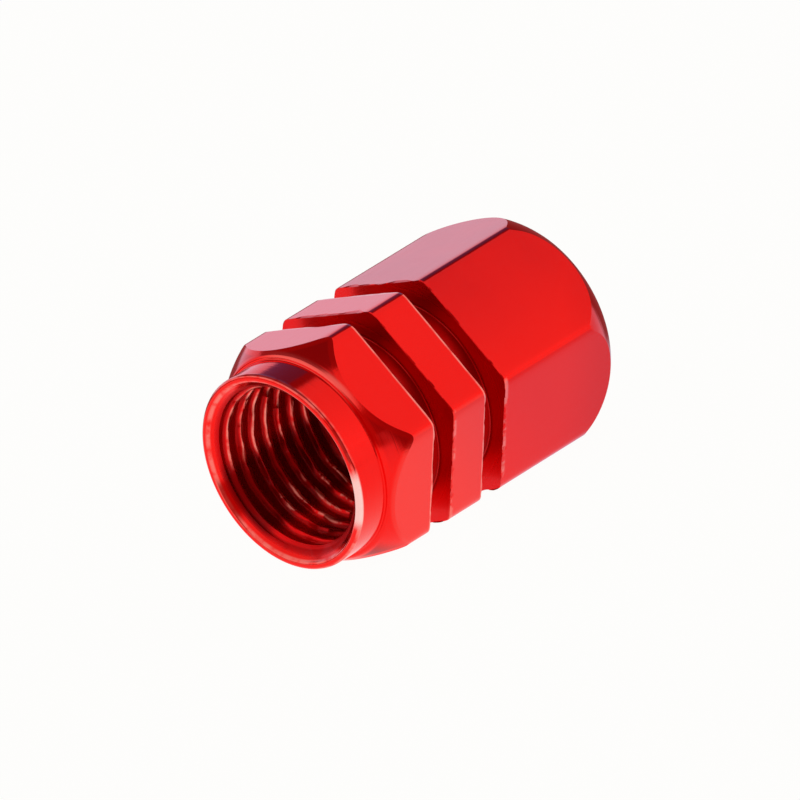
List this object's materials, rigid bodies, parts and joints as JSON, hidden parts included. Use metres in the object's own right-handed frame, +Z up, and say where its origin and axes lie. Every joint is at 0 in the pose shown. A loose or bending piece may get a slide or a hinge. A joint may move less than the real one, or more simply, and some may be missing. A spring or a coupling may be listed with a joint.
{
  "type": "tyre valve cap",
  "caption": "Hexagonal screw-on cap for a tyre valve, turned from anodised aluminium, with a round collar at its threaded mouth, turned grooves and a rounded closed end.",
  "frame": {"origin": "middle of the cap's length, under its axis, on the surface that the lower flat lies on", "axes": "+X along the cap from its mouth to its closed end, +Z up, square to the flat that it lies on"},
  "size_m": [0.016, 0.011, 0.0097],
  "materials": {
    "anodised_aluminium": "bright red anodised over a turned and milled surface"
  },
  "bodies": {
    "root": {"valve_cap": "anodised_aluminium"}
  },
  "joints": []
}
